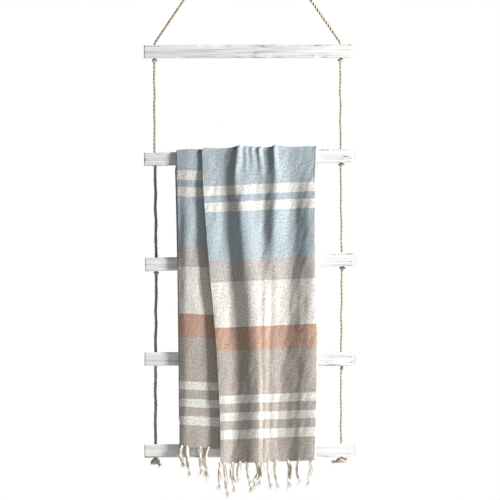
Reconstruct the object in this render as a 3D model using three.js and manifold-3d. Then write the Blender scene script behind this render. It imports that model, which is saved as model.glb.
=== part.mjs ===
// A throw with knotted fringes, draped over a hanging ladder of five wooden rungs on two ropes.
// Millimetres, +Z up, X along the rungs, the flat faces of the rungs look towards -Y.
// The origin is where the hanging loop bears on its hook.
import * as THREE from "three";
import { mergeVertices } from "three/addons/utils/BufferGeometryUtils.js";
import Module from "manifold-3d";

const wasm = await Module();
wasm.setup();

// Clearances.
const GAP = 0.3; // between faces that touch
const HOLE_CLEARANCE = 0.8; // round a rope in its hole, on the radius
const CLOTH_CLEARANCE = 1; // between the throw and the rungs

// Rope and loop.
const ROPE_DIAMETER = 7;
const ROPE_SIDES = 10;
const LOOP_RADIUS = 13; // centre line of the bend that bears on the hook
const LOOP_LEG_SPREAD = 5; // each leg's distance from the middle, where it enters the knot
const LOOP_DROP = 52; // from the hook to the legs' lower ends
const APEX_KNOT_RADIUS = 13;
const BAIL_BEND = 10; // height over rung 1 at which the two slanting ropes turn down
const BAIL_BEND_LENGTH = 12;

// Rungs. The ladder hangs a little to the right of its hook, because it was tied by hand.
const RUNG_LENGTH = 508;
const RUNG_HEIGHT = 32;
const RUNG_DEPTH = 30;
const FRONT_EDGE_RADIUS = 2;
const LEFT_HOLE_INSET = 22.5; // from the rung's left end to the left rope
const RIGHT_HOLE_INSET = 31.5;
const LADDER_OFFSET = 7.5;
// Each rung: drop from the one above it, shift along X, tilt in degrees, and its two knots.
// A knot is [diameter, height]; the word recessed is for a small one pulled up into the wood.
const RECESSED = "recessed";
const RUNGS = [
  { drop: 337, shift: -1.1, tilt: -0.18, left: [14.5, 8], right: [16, 9] },
  { drop: 248, shift: -0.4, tilt: 0.82, left: RECESSED, right: [16, 8] },
  { drop: 244, shift: 2.3, tilt: 1.41, left: [14, 7], right: [16, 7] },
  { drop: 227, shift: 0.7, tilt: 0.15, left: RECESSED, right: RECESSED },
  { drop: 214, shift: 0.5, tilt: 0.53, left: [23, 17], right: [29, 14] },
];
const RECESSED_KNOT_DIAMETER = 13;
const RECESSED_KNOT_HEIGHT = 9;

// Throw. Its stack of four layers hangs over one rung, and its front end is a step: the layer
// that shows at the left is higher than the main panel.
const THROW_RUNG = 1; // index of the rung that it hangs on
const THROW_LEFT = -172; // from the ladder's middle
const THROW_WIDTH = 349;
const THROW_THICKNESS = 12;
const THROW_FRONT_DROP = 736; // from the crest to the main panel's lower edge
const THROW_BACK_DROP = 584;
const STRIP_WIDTH = 84;
const STRIP_RISE = 38;

// Fringe.
const TASSEL_LENGTH = 68;
const TASSEL_WIDTH = 8;
const TASSEL_PITCH = 19;
const FRINGE_HEADER = 4; // the row of knots, where the tassels leave the cloth
const FRINGE_THICKNESS = 8;

const ropeRadius = ROPE_DIAMETER / 2;
const holeRadius = ropeRadius + HOLE_CLEARANCE;
const counterboreDepth = GAP + RECESSED_KNOT_HEIGHT + GAP + ropeRadius;
const counterboreRadius = RECESSED_KNOT_DIAMETER / 2 + HOLE_CLEARANCE;
const counterboreFloor = -RUNG_HEIGHT / 2 + counterboreDepth;
const apex = new THREE.Vector3(0, 0, -(LOOP_DROP + APEX_KNOT_RADIUS + GAP));

const wood = { color: 0xe6e5e3, roughness: 0.75, metalness: 0 };
const jute = { color: 0xb59b80, roughness: 0.9, metalness: 0 };
const cotton = { color: 0xb9c8d3, roughness: 0.95, metalness: 0 };
const yarn = { color: 0xe8e2d8, roughness: 0.95, metalness: 0 };

const object = new THREE.Group();

function add(name, geometry, finish, parent = object) {
  const mesh = new THREE.Mesh(geometry, new THREE.MeshStandardMaterial(finish));
  mesh.name = name;
  parent.add(mesh);
  return mesh;
}

function toSolid(geometry) {
  const bare = geometry.clone();
  bare.deleteAttribute("normal");
  bare.deleteAttribute("uv");
  const merged = mergeVertices(bare, 1e-4);
  return new wasm.Manifold(
    new wasm.Mesh({
      numProp: 3,
      vertProperties: Float32Array.from(merged.attributes.position.array),
      triVerts: Uint32Array.from(merged.index.array),
    }),
  );
}

function toGeometry(solid) {
  const mesh = solid.getMesh();
  const geometry = new THREE.BufferGeometry();
  geometry.setAttribute("position", new THREE.BufferAttribute(mesh.vertProperties, 3));
  geometry.setIndex(new THREE.BufferAttribute(mesh.triVerts, 1));
  geometry.computeVertexNormals();
  return geometry;
}

// An outline given in Y and Z, drawn out along X from 0 to length.
function extrudeAlongX(outline, length) {
  const geometry = new THREE.ExtrudeGeometry(outline, {
    depth: length,
    bevelEnabled: false,
    curveSegments: 10,
  });
  return geometry.rotateX(Math.PI / 2).rotateZ(Math.PI / 2);
}

function verticalCylinder(radius, low, high) {
  const geometry = new THREE.CylinderGeometry(radius, radius, high - low, 16);
  return geometry.rotateX(Math.PI / 2).translate(0, 0, (low + high) / 2);
}

// The rung's section: flat in front, with small round edges, and a half ellipse behind.
function rungOutline(grow = 0) {
  const front = -RUNG_DEPTH / 2 - grow;
  const half = RUNG_HEIGHT / 2 + grow;
  const edge = FRONT_EDGE_RADIUS + grow;
  const shape = new THREE.Shape();
  shape.moveTo(front, -half + edge);
  shape.absarc(front + edge, -half + edge, edge, Math.PI, 1.5 * Math.PI, false);
  const depth = RUNG_DEPTH / 2 + grow - (front + edge);
  shape.absellipse(front + edge, 0, depth, half, -Math.PI / 2, Math.PI / 2, false, 0);
  shape.absarc(front + edge, half - edge, edge, Math.PI / 2, Math.PI, false);
  shape.closePath();
  return shape;
}

// A round body from its profile of [radius, height] points, standing on z = 0.
function turned(points, sides) {
  const profile = points.map(([radius, height]) => new THREE.Vector2(radius, height));
  return new THREE.LatheGeometry(profile, sides).rotateX(Math.PI / 2);
}

// A tied knot: a barrel with rounded shoulders that hangs down from z = 0.
function knotGeometry([diameter, height]) {
  const radius = diameter / 2;
  const steps = 8;
  const points = [[0, -height]];
  for (let i = 1; i < steps; i++) {
    const angle = -Math.PI / 2 + (Math.PI * i) / steps;
    const reach = Math.sqrt(Math.cos(angle));
    points.push([radius * reach, (height / 2) * (Math.sin(angle) - 1)]);
  }
  points.push([0, 0]);
  return turned(points, 14);
}

// Rungs' places, the ropes' holes through them and the pivots below their knots.
let height = apex.z;
const levels = RUNGS.map((rung) => {
  height -= rung.drop;
  const middle = new THREE.Vector3(LADDER_OFFSET + rung.shift, 0, height);
  const turn = THREE.MathUtils.degToRad(rung.tilt);
  const place = (x, z) =>
    new THREE.Vector3(
      middle.x + x * Math.cos(turn) - z * Math.sin(turn),
      0,
      middle.z + x * Math.sin(turn) + z * Math.cos(turn),
    );
  const side = (x, knot) => {
    const recessed = knot === RECESSED;
    const knotTop = recessed ? counterboreFloor : -RUNG_HEIGHT / 2;
    const size = recessed ? [RECESSED_KNOT_DIAMETER, RECESSED_KNOT_HEIGHT] : knot;
    return {
      x,
      recessed,
      size,
      centre: place(x, 0),
      top: place(x, RUNG_HEIGHT / 2),
      ropeEnd: place(x, knotTop),
      knotTop: place(x, knotTop - GAP),
      pivot: place(x, knotTop - 2 * GAP - size[1] - ropeRadius),
    };
  };
  return {
    middle,
    turn,
    left: side(-RUNG_LENGTH / 2 + LEFT_HOLE_INSET, rung.left),
    right: side(RUNG_LENGTH / 2 - RIGHT_HOLE_INSET, rung.right),
  };
});

function hangingLoop() {
  const centre = ropeRadius - LOOP_RADIUS;
  const points = [new THREE.Vector3(-LOOP_LEG_SPREAD, 0, -LOOP_DROP)];
  points.push(new THREE.Vector3(-LOOP_LEG_SPREAD, 0, -LOOP_DROP + 6));
  for (let degrees = 200; degrees >= -20; degrees -= 20) {
    const angle = THREE.MathUtils.degToRad(degrees);
    const x = LOOP_RADIUS * Math.cos(angle);
    points.push(new THREE.Vector3(x, 0, centre + LOOP_RADIUS * Math.sin(angle)));
  }
  points.push(new THREE.Vector3(LOOP_LEG_SPREAD, 0, -LOOP_DROP + 6));
  points.push(new THREE.Vector3(LOOP_LEG_SPREAD, 0, -LOOP_DROP));
  return ropeAlong(new THREE.CatmullRomCurve3(points), 44);
}

function ropeAlong(curve, steps) {
  const section = new THREE.Shape();
  section.absarc(0, 0, ropeRadius, 0, 2 * Math.PI);
  const ring = new THREE.Shape(section.getPoints(ROPE_SIDES).slice(0, ROPE_SIDES));
  return new THREE.ExtrudeGeometry(ring, { steps, extrudePath: curve, bevelEnabled: false });
}

// One of the two slanting ropes, from the apex knot down through rung 1 to its stop knot.
function bailRope(side) {
  const turnPoint = side.top.clone().add(new THREE.Vector3(0, 0, BAIL_BEND));
  const slant = turnPoint.clone().sub(apex).normalize();
  const start = apex.clone().addScaledVector(slant, APEX_KNOT_RADIUS + GAP);
  const bendStart = turnPoint.clone().addScaledVector(slant, -BAIL_BEND_LENGTH);
  const path = new THREE.CurvePath();
  path.add(new THREE.LineCurve3(start, bendStart));
  const bendEnd = side.top.clone().add(new THREE.Vector3(0, 0, 1));
  path.add(new THREE.QuadraticBezierCurve3(bendStart, turnPoint, bendEnd));
  path.add(new THREE.LineCurve3(bendEnd, side.ropeEnd));
  return ropeAlong(path, 60);
}

// A straight rope from the pivot under one rung down to the stop knot of the next. Its upper
// end is a half ball round the pivot, so that it can swing there.
function ladderRope(from, to) {
  const along = to.ropeEnd.clone().sub(from.pivot);
  const points = [[0, -along.length()], [ropeRadius, -along.length()]];
  for (let i = 0; i <= 4; i++) {
    const angle = (Math.PI / 2) * (i / 4);
    points.push([ropeRadius * Math.cos(angle), ropeRadius * Math.sin(angle)]);
  }
  points[points.length - 1][0] = 0;
  const geometry = turned(points, ROPE_SIDES);
  const down = new THREE.Vector3(0, 0, -1);
  const aim = new THREE.Quaternion().setFromUnitVectors(down, along.normalize());
  return geometry.applyQuaternion(aim).translate(from.pivot.x, from.pivot.y, from.pivot.z);
}

function rung(level) {
  let solid = toSolid(extrudeAlongX(rungOutline(), RUNG_LENGTH).translate(-RUNG_LENGTH / 2, 0, 0));
  for (const side of [level.left, level.right]) {
    const hole = verticalCylinder(holeRadius, -RUNG_HEIGHT, RUNG_HEIGHT).translate(side.x, 0, 0);
    solid = solid.subtract(toSolid(hole));
    if (side.recessed) {
      const seat = verticalCylinder(counterboreRadius, -RUNG_HEIGHT, counterboreFloor);
      solid = solid.subtract(toSolid(seat.translate(side.x, 0, 0)));
    }
  }
  return toGeometry(solid);
}

// The throw's stack of layers over its rung: the rung's section grown by the clearance inside
// and by the stack's thickness outside, with a straight panel down each side.
function throwOutline(crest) {
  const inner = RUNG_DEPTH / 2 + CLOTH_CLEARANCE;
  const outer = inner + THROW_THICKNESS;
  const shape = new THREE.Shape();
  shape.moveTo(-outer, crest - THROW_FRONT_DROP);
  shape.lineTo(-inner, crest - THROW_FRONT_DROP);
  const within = rungOutline(CLOTH_CLEARANCE).getPoints(8);
  for (const point of within.filter((p) => p.y > 0).sort((a, b) => a.x - b.x || a.y - b.y)) {
    shape.lineTo(point.x, point.y);
  }
  shape.lineTo(inner, crest - THROW_BACK_DROP);
  shape.lineTo(outer, crest - THROW_BACK_DROP);
  shape.absellipse(0, 0, outer, crest, 0, Math.PI, false, 0);
  shape.closePath();
  return shape;
}

const hung = levels[THROW_RUNG];
const crest = RUNG_HEIGHT / 2 + CLOTH_CLEARANCE + THROW_THICKNESS;
// The throw's X runs from its left edge, and it leans with its rung without turning.
const lean = new THREE.Matrix4().set(
  1, 0, 0, LADDER_OFFSET + THROW_LEFT,
  0, 1, 0, 0,
  Math.tan(hung.turn), 0, 1,
  hung.middle.z + (LADDER_OFFSET + THROW_LEFT - hung.middle.x) * Math.tan(hung.turn),
  0, 0, 0, 1,
);

function throwBody() {
  let solid = toSolid(extrudeAlongX(throwOutline(crest), THROW_WIDTH));
  const reach = RUNG_DEPTH + THROW_THICKNESS;
  const step = new THREE.BoxGeometry(STRIP_WIDTH * 2, reach * 2, STRIP_RISE * 2);
  step.translate(0, -reach, crest - THROW_FRONT_DROP);
  solid = solid.subtract(toSolid(step));
  return toGeometry(solid).applyMatrix4(lean);
}

// A row of tassels that hang from a narrow header, as wide as the edge that they finish.
function fringe(left, width, top, y) {
  const outline = new THREE.Shape();
  const count = Math.floor((width - TASSEL_WIDTH) / TASSEL_PITCH) + 1;
  const first = left + (width - (count - 1) * TASSEL_PITCH) / 2;
  outline.moveTo(left, top);
  outline.lineTo(left, top - FRINGE_HEADER);
  for (let i = 0; i < count; i++) {
    const x = first + i * TASSEL_PITCH;
    outline.lineTo(x - TASSEL_WIDTH / 2, top - FRINGE_HEADER);
    outline.lineTo(x - TASSEL_WIDTH / 2, top - TASSEL_LENGTH);
    outline.lineTo(x + TASSEL_WIDTH / 2, top - TASSEL_LENGTH);
    outline.lineTo(x + TASSEL_WIDTH / 2, top - FRINGE_HEADER);
  }
  outline.lineTo(left + width, top - FRINGE_HEADER);
  outline.lineTo(left + width, top);
  outline.closePath();
  const geometry = new THREE.ExtrudeGeometry(outline, {
    depth: FRINGE_THICKNESS,
    bevelEnabled: false,
  });
  geometry.rotateX(Math.PI / 2).translate(0, y + FRINGE_THICKNESS / 2, 0);
  return geometry.applyMatrix4(lean);
}

add("hanging_loop", hangingLoop(), jute);
add("apex_knot", new THREE.SphereGeometry(APEX_KNOT_RADIUS, 18, 12), jute).position.copy(apex);
levels.forEach((level, index) => {
  const number = index + 1;
  const frame = new THREE.Group();
  frame.position.copy(level.middle);
  frame.rotation.y = -level.turn;
  object.add(frame);
  add(`rung_${number}`, rung(level), wood, frame);
  for (const name of ["left", "right"]) {
    const side = level[name];
    const above = index === 0 ? null : levels[index - 1][name];
    const rope = above ? ladderRope(above, side) : bailRope(side);
    add(above ? `rope_${name}_${number}` : `bail_rope_${name}`, rope, jute);
    const knot = add(`knot_${name}_${number}`, knotGeometry(side.size), jute);
    knot.position.copy(side.knotTop);
  }
});
add("throw", throwBody(), cotton);
const panelDepth = RUNG_DEPTH / 2 + CLOTH_CLEARANCE + THROW_THICKNESS / 2;
const frontEdge = crest - THROW_FRONT_DROP - GAP;
const mainWidth = THROW_WIDTH - STRIP_WIDTH;
add("fringe_front", fringe(STRIP_WIDTH, mainWidth, frontEdge, -panelDepth), yarn);
add("fringe_strip", fringe(0, STRIP_WIDTH - GAP, frontEdge + STRIP_RISE, -panelDepth), yarn);
add("fringe_back", fringe(0, THROW_WIDTH, crest - THROW_BACK_DROP - GAP, panelDepth), yarn);

export default object;
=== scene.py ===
# %% [markdown]
# # A fringed throw on a hanging rope ladder
#
# Five whitewashed rungs hang on two jute ropes, and a striped cotton throw is folded in four and
# draped over the second rung. This file dresses the imported model: it reads every place from the
# frame and gives each piece its real surface.
#
# We start by loading the frame. Its box is kept and printed.

# %% Load the frame
import math

import bpy
import numpy as np
from mathutils import Matrix, Vector


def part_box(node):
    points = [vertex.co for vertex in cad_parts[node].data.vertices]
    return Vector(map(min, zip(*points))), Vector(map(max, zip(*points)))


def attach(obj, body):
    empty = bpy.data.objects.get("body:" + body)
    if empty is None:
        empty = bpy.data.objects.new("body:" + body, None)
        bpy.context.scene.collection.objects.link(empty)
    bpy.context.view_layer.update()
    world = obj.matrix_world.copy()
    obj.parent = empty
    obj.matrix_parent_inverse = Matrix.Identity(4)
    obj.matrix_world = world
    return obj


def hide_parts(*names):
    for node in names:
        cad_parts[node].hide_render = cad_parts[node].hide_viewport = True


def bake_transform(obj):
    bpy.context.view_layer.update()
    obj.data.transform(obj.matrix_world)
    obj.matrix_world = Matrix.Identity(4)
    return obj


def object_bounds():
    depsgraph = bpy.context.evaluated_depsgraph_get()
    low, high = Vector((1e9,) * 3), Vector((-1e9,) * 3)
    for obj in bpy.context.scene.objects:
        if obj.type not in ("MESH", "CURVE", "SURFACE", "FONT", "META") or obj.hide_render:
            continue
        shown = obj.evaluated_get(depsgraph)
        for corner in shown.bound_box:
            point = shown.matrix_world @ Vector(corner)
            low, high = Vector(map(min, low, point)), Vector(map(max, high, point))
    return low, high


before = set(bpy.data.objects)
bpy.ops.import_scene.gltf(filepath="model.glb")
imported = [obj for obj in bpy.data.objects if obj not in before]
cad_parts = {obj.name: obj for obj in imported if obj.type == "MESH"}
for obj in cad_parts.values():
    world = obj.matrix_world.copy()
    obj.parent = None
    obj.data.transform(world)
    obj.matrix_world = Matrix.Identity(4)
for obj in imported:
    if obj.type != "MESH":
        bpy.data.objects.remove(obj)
cad_box = [list(corner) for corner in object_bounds()]
MM = 0.001
RUNG_NUMBERS = (1, 2, 3, 4, 5)
SIDES = ("left", "right")
print("CAD box", cad_box)

# %% [markdown]
# ## Camera
#
# The ladder is seen from a little to its right, level with its middle, through a long lens, so its
# ropes stay parallel. The picture's height is read against the span from rung 1 to rung 5.

# %% Camera
CAMERA_AZIMUTH = math.radians(16.5)
LENS_MM = 700
SENSOR_MM = 36
SPAN_SHARE = 0.798  # rungs 1 to 5, of the picture's height
TOP_RUNG_SHARE = 0.103  # from the picture's top to the middle of rung 1


def box(node):
    """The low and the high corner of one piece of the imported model."""
    low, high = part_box(node)
    return Vector(low), Vector(high)


def middle(node):
    low, high = box(node)
    return (low + high) / 2


def add_object(name, data):
    made = bpy.data.objects.new(name, data)
    bpy.context.collection.objects.link(made)
    return made


span = middle("rung_1").z - middle("rung_5").z
picture_height = span / SPAN_SHARE
target_x = sum(middle(f"rung_{n}").x for n in RUNG_NUMBERS) / len(RUNG_NUMBERS)
target_z = middle("rung_1").z - (0.5 - TOP_RUNG_SHARE) * picture_height
target = Vector((target_x, 0, target_z))
toward_camera = Vector((math.sin(CAMERA_AZIMUTH), -math.cos(CAMERA_AZIMUTH), 0))
camera_data = bpy.data.cameras.new("camera")
camera_data.lens = LENS_MM
camera_data.sensor_width = SENSOR_MM
camera = add_object("camera", camera_data)
camera.location = target + toward_camera * (picture_height * LENS_MM / SENSOR_MM)
camera.rotation_euler = toward_camera.to_track_quat("Z", "Y").to_euler()
bpy.context.scene.camera = camera
print("picture height", round(picture_height, 3), "m")

# %% [markdown]
# ## Light and floor
#
# A studio with one strong lamp low on the right, a weak one behind and a pale surround. The side
# light is what draws the folds of the throw: a right flank turns bright and a left flank dark.

# %% Studio
LAMP_HEIGHT = math.radians(15)
LAMP_DISTANCE = 4.0
KEY_AZIMUTH = math.radians(76)
KEY_SIZE = 0.6
KEY_WATTS = 525
BACK_AZIMUTH = math.radians(205)
BACK_SIZE = 2.0
BACK_WATTS = 110
SURROUND = 0.12
BACKDROP = 1.0
FLOOR_DROP = 0.45
FLOOR_REACH = 1.8


def aim_lamp(name, azimuth, size, watts):
    level = math.cos(LAMP_HEIGHT)
    back = Vector((math.sin(azimuth) * level, -math.cos(azimuth) * level, math.sin(LAMP_HEIGHT)))
    data = bpy.data.lights.new(name, "AREA")
    data.shape = "DISK"
    data.size = size
    data.energy = watts
    lamp = add_object(name, data)
    lamp.location = target + back * LAMP_DISTANCE
    lamp.rotation_euler = back.to_track_quat("Z", "Y").to_euler()


aim_lamp("key", KEY_AZIMUTH, KEY_SIZE, KEY_WATTS)
aim_lamp("behind", BACK_AZIMUTH, BACK_SIZE, BACK_WATTS)
world = bpy.data.worlds.new("studio")
bpy.context.scene.world = world
world.use_nodes = True
sky = world.node_tree
seen = sky.nodes.new("ShaderNodeLightPath")
mix = sky.nodes.new("ShaderNodeMixShader")
sky.links.new(seen.outputs["Is Camera Ray"], mix.inputs["Fac"])
lit, shown = sky.nodes["Background"], sky.nodes.new("ShaderNodeBackground")
for place, (background, strength) in enumerate(((lit, SURROUND), (shown, BACKDROP))):
    background.inputs["Color"].default_value = (1, 1, 1, 1)
    background.inputs["Strength"].default_value = strength
    sky.links.new(background.outputs["Background"], mix.inputs[place + 1])
sky.links.new(mix.outputs["Shader"], sky.nodes["World Output"].inputs["Surface"])
bpy.context.scene.view_settings.view_transform = "Standard"

floor_data = bpy.data.meshes.new("floor")
floor_z = cad_box[0][2] - FLOOR_DROP
corners = [(x * FLOOR_REACH, y * FLOOR_REACH, floor_z)
           for x, y in ((-1, -1), (1, -1), (1, 1), (-1, 1))]
floor_data.from_pydata(corners, [], [(0, 1, 2, 3)])
floor = add_object("floor", floor_data)
print("two lamps, a surround and a floor at", round(floor_z, 3), "m")

# %% [markdown]
# ## Small tools
#
# A material here is one Principled shader with a few nodes before it. These helpers keep each
# recipe short: one adds a node and feeds its inputs, one makes a colour ramp, and one turns a
# modifier's result into a plain mesh.

# %% Tools for materials and meshes


def feed(tree, socket, value):
    """Links an input to another node's output, or sets it to a plain value."""
    if isinstance(value, bpy.types.NodeSocket):
        tree.links.new(value, socket)
    elif value is not None:
        socket.default_value = value


def node(tree, kind, **inputs):
    """Adds a node and feeds its inputs, named with _ for each space."""
    made = tree.nodes.new(kind)
    for name, value in inputs.items():
        feed(tree, made.inputs[name.replace("_", " ")], value)
    return made


def math_node(tree, operation, first, second=None, clamp=False):
    made = tree.nodes.new("ShaderNodeMath")
    made.operation = operation
    made.use_clamp = clamp
    feed(tree, made.inputs[0], first)
    feed(tree, made.inputs[1], second)
    return made.outputs["Value"]


def plus(tree, first, second):
    return math_node(tree, "ADD", first, second)


def times(tree, first, second):
    return math_node(tree, "MULTIPLY", first, second)


def noise(tree, vector, scale, detail, roughness=0.5):
    return node(tree, "ShaderNodeTexNoise", Vector=vector, Scale=scale, Detail=detail,
                Roughness=roughness).outputs["Fac"]


def mapped(tree, vector, scale, location=(0, 0, 0)):
    return node(tree, "ShaderNodeMapping", Vector=vector, Scale=scale,
                Location=location).outputs["Vector"]


def attribute(tree, name):
    made = tree.nodes.new("ShaderNodeAttribute")
    made.attribute_name = name
    return made.outputs["Fac"]


def ramp(tree, factor, stops, constant=False):
    made = tree.nodes.new("ShaderNodeValToRGB")
    tree.links.new(factor, made.inputs["Fac"])
    if constant:
        made.color_ramp.interpolation = "CONSTANT"
    points = made.color_ramp.elements
    while len(points) < len(stops):
        points.new(1.0)
    for point, (place, colour) in zip(points, stops):
        point.position = place
        point.color = (*colour, 1) if hasattr(colour, "__len__") else (colour, colour, colour, 1)
    return made.outputs["Color"]


def mixed(tree, factor, first, second, blend="MIX"):
    """A colour between two, or one colour multiplied by the other."""
    made = tree.nodes.new("ShaderNodeMix")
    made.data_type = "RGBA"
    made.blend_type = blend
    for index, value in ((0, factor), (6, first), (7, second)):
        feed(tree, made.inputs[index], value)
    return made.outputs[2]


def material(name, roughness):
    made = bpy.data.materials.new(name)
    made.use_nodes = True
    shader = made.node_tree.nodes["Principled BSDF"]
    shader.inputs["Roughness"].default_value = roughness
    return made, made.node_tree, shader


def bump(tree, shader, height, strength, distance):
    made = node(tree, "ShaderNodeBump", Height=height, Strength=strength, Distance=distance)
    tree.links.new(made.outputs["Normal"], shader.inputs["Normal"])


def mesh_object(name, vertices, faces, finish):
    data = bpy.data.meshes.new(name)
    data.from_pydata(vertices, [], faces)
    data.materials.append(finish)
    return add_object(name, data)


def frozen(obj, name):
    """The evaluated object as a plain mesh; the object that it came from goes."""
    graph = bpy.context.evaluated_depsgraph_get()
    data = bpy.data.meshes.new_from_object(obj.evaluated_get(graph))
    source = obj.data
    bpy.data.objects.remove(obj)
    (bpy.data.curves if isinstance(source, bpy.types.Curve) else bpy.data.meshes).remove(source)
    data.name = name
    return add_object(name, data)


def socket_id(tree, name):
    return next(item.identifier for item in tree.interface.items_tree
                if item.name == name and item.in_out == "INPUT")


floor_finish, _, floor_shader = material("studio_floor", 0.8)
floor_shader.inputs["Base Color"].default_value = (0.70, 0.70, 0.69, 1)
floor_data.materials.append(floor_finish)
print("floor finish", floor_finish.name)

# %% [markdown]
# ## Shared finish: uneven fibre
#
# Cotton, yarn and jute are all spun, so none of them has an even colour. One node group gives a
# mask of long thin streaks and small specks from any coordinates, and each material uses it at its
# own scale.

# %% Fibre group


def fibre_group():
    tree = bpy.data.node_groups.new("uneven fibre", "ShaderNodeTree")
    sockets = (("Vector", "INPUT", "NodeSocketVector"), ("Streak scale", "INPUT", "NodeSocketFloat"),
               ("Speck scale", "INPUT", "NodeSocketFloat"), ("Mask", "OUTPUT", "NodeSocketFloat"),
               ("Height", "OUTPUT", "NodeSocketFloat"))
    for name, way, kind in sockets:
        tree.interface.new_socket(name=name, in_out=way, socket_type=kind)
    given = tree.nodes.new("NodeGroupInput").outputs
    out = tree.nodes.new("NodeGroupOutput").inputs
    streak = noise(tree, given["Vector"], given["Streak scale"], 3.0, 0.6)
    speck = noise(tree, given["Vector"], given["Speck scale"], 2.0, 0.7)
    both = plus(tree, streak, speck)
    feed(tree, out["Mask"], math_node(tree, "SUBTRACT", both, 0.5, clamp=True))
    feed(tree, out["Height"], both)
    return tree


FIBRE = fibre_group()


def fibre(tree, vector, streak_scale, speck_scale):
    made = tree.nodes.new("ShaderNodeGroup")
    made.node_tree = FIBRE
    for name, value in (("Vector", vector), ("Streak scale", streak_scale),
                        ("Speck scale", speck_scale)):
        feed(tree, made.inputs[name], value)
    return made.outputs


print(FIBRE.name, "has", len(FIBRE.nodes), "nodes")


# %% [markdown]
# ## Rope
#
# Jute rope is three strands laid round each other. Geometry Nodes make it along any curve: the
# curve is copied three times, each copy is pushed out from the middle and turned as it goes, and
# each gets a round section. Two attributes run along and round each strand for the fibre pattern.
# The same tree makes the knots and the tassels, because they are cords too.

# %% Twisted cord tree
STRANDS = 3
STRAND_SHARE = 0.232  # a strand's radius, of the cord's diameter
HELIX_SHARE = 0.268  # from the cord's middle to a strand's middle


def geometry_tree(name, inputs):
    """A tree with named inputs, and the outputs of its input node."""
    tree = bpy.data.node_groups.new(name, "GeometryNodeTree")
    tree.interface.new_socket(name="Geometry", in_out="INPUT", socket_type="NodeSocketGeometry")
    for label, kind, value in inputs:
        made = tree.interface.new_socket(name=label, in_out="INPUT", socket_type=kind)
        if value is not None:
            made.default_value = value
    tree.interface.new_socket(name="Geometry", in_out="OUTPUT", socket_type="NodeSocketGeometry")
    return tree, tree.nodes.new("NodeGroupInput").outputs


def end_tree(tree, geometry, finish):
    """Ends a tree: its instances are made real and one material is set on the whole."""
    whole = node(tree, "GeometryNodeRealizeInstances", Geometry=geometry)
    dressed = node(tree, "GeometryNodeSetMaterial", Geometry=whole.outputs["Geometry"],
                   Material=finish)
    out = tree.nodes.new("NodeGroupOutput")
    tree.links.new(dressed.outputs["Geometry"], out.inputs["Geometry"])
    return tree


def vector_node(tree, operation, first, second=None, scale=None):
    made = tree.nodes.new("ShaderNodeVectorMath")
    made.operation = operation
    for socket, value in ((0, first), (1, second), ("Scale", scale)):
        if value is not None:
            tree.links.new(value, made.inputs[socket])
    return made.outputs["Vector"]


def stored(tree, geometry, name, value):
    return node(tree, "GeometryNodeStoreNamedAttribute", Geometry=geometry, Name=name,
                Value=value).outputs["Geometry"]


def cord_tree():
    tree, given = geometry_tree("twisted cord", (
        ("Diameter", "NodeSocketFloat", 0.007), ("Lay length", "NodeSocketFloat", 0.022),
        ("Step", "NodeSocketFloat", 0.002), ("Sides", "NodeSocketInt", 8),
        ("Material", "NodeSocketMaterial", None)))
    even = tree.nodes.new("GeometryNodeResampleCurve")
    even.mode = "LENGTH"
    feed(tree, even.inputs["Curve"], given["Geometry"])
    feed(tree, even.inputs["Length"], given["Step"])
    place = tree.nodes.new("GeometryNodeSplineParameter").outputs["Length"]
    tangent = tree.nodes.new("GeometryNodeInputTangent").outputs["Tangent"]
    normal = tree.nodes.new("GeometryNodeInputNormal").outputs["Normal"]
    width = tree.nodes.new("GeometryNodeInputRadius").outputs["Radius"]
    across = vector_node(tree, "CROSS_PRODUCT", tangent, normal)
    reach = times(tree, times(tree, given["Diameter"], HELIX_SHARE), width)
    turns = math_node(tree, "DIVIDE", place, given["Lay length"])
    ring = node(tree, "GeometryNodeCurvePrimitiveCircle", Resolution=given["Sides"],
                Radius=times(tree, given["Diameter"], STRAND_SHARE))
    around = tree.nodes.new("GeometryNodeSplineParameter").outputs["Factor"]
    section = stored(tree, ring.outputs["Curve"], "around", around)
    joined = tree.nodes.new("GeometryNodeJoinGeometry")
    for strand in range(STRANDS):
        angle = plus(tree, times(tree, turns, 2 * math.pi), 2 * math.pi * strand / STRANDS)
        cosine = times(tree, math_node(tree, "COSINE", angle), reach)
        sine = times(tree, math_node(tree, "SINE", angle), reach)
        push = vector_node(tree, "ADD", vector_node(tree, "SCALE", normal, scale=cosine),
                           vector_node(tree, "SCALE", across, scale=sine))
        marked = stored(tree, even.outputs["Curve"], "along", place)
        moved = node(tree, "GeometryNodeSetPosition", Geometry=marked, Offset=push)
        tube = node(tree, "GeometryNodeCurveToMesh", Curve=moved.outputs["Geometry"],
                    Profile_Curve=section, Scale=width, Fill_Caps=True)
        tree.links.new(tube.outputs["Mesh"], joined.inputs["Geometry"])
    smooth = node(tree, "GeometryNodeSetShadeSmooth", Geometry=joined.outputs["Geometry"])
    return end_tree(tree, smooth.outputs["Geometry"], given["Material"])


CORD_TREE = cord_tree()


def with_nodes(obj, tree, **inputs):
    modifier = obj.modifiers.new(tree.name, "NODES")
    modifier.node_group = tree
    for name, value in inputs.items():
        modifier[socket_id(tree, name.replace("_", " "))] = value


def cord_mesh(name, lines, diameter, lay, finish, step, sides=8):
    """Cords as one mesh; each line is a list of (point, width share)."""
    data = bpy.data.curves.new(name, "CURVE")
    data.dimensions = "3D"
    for line in lines:
        spline = data.splines.new("POLY")
        spline.points.add(len(line) - 1)
        for point, (place, width) in zip(spline.points, line):
            point.co = (*place, 1)
            point.radius = width
    made = add_object(name, data)
    with_nodes(made, CORD_TREE, Diameter=diameter, Lay_length=lay, Step=step, Sides=sides,
               Material=finish)
    return frozen(made, name)


print(CORD_TREE.name, "has", len(CORD_TREE.nodes), "nodes")


# %% [markdown]
# Jute is rough and hairy. Loose fibres stand off every strand, so a second tree scatters short
# curved hairs over the surface of whatever it is given.

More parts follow.
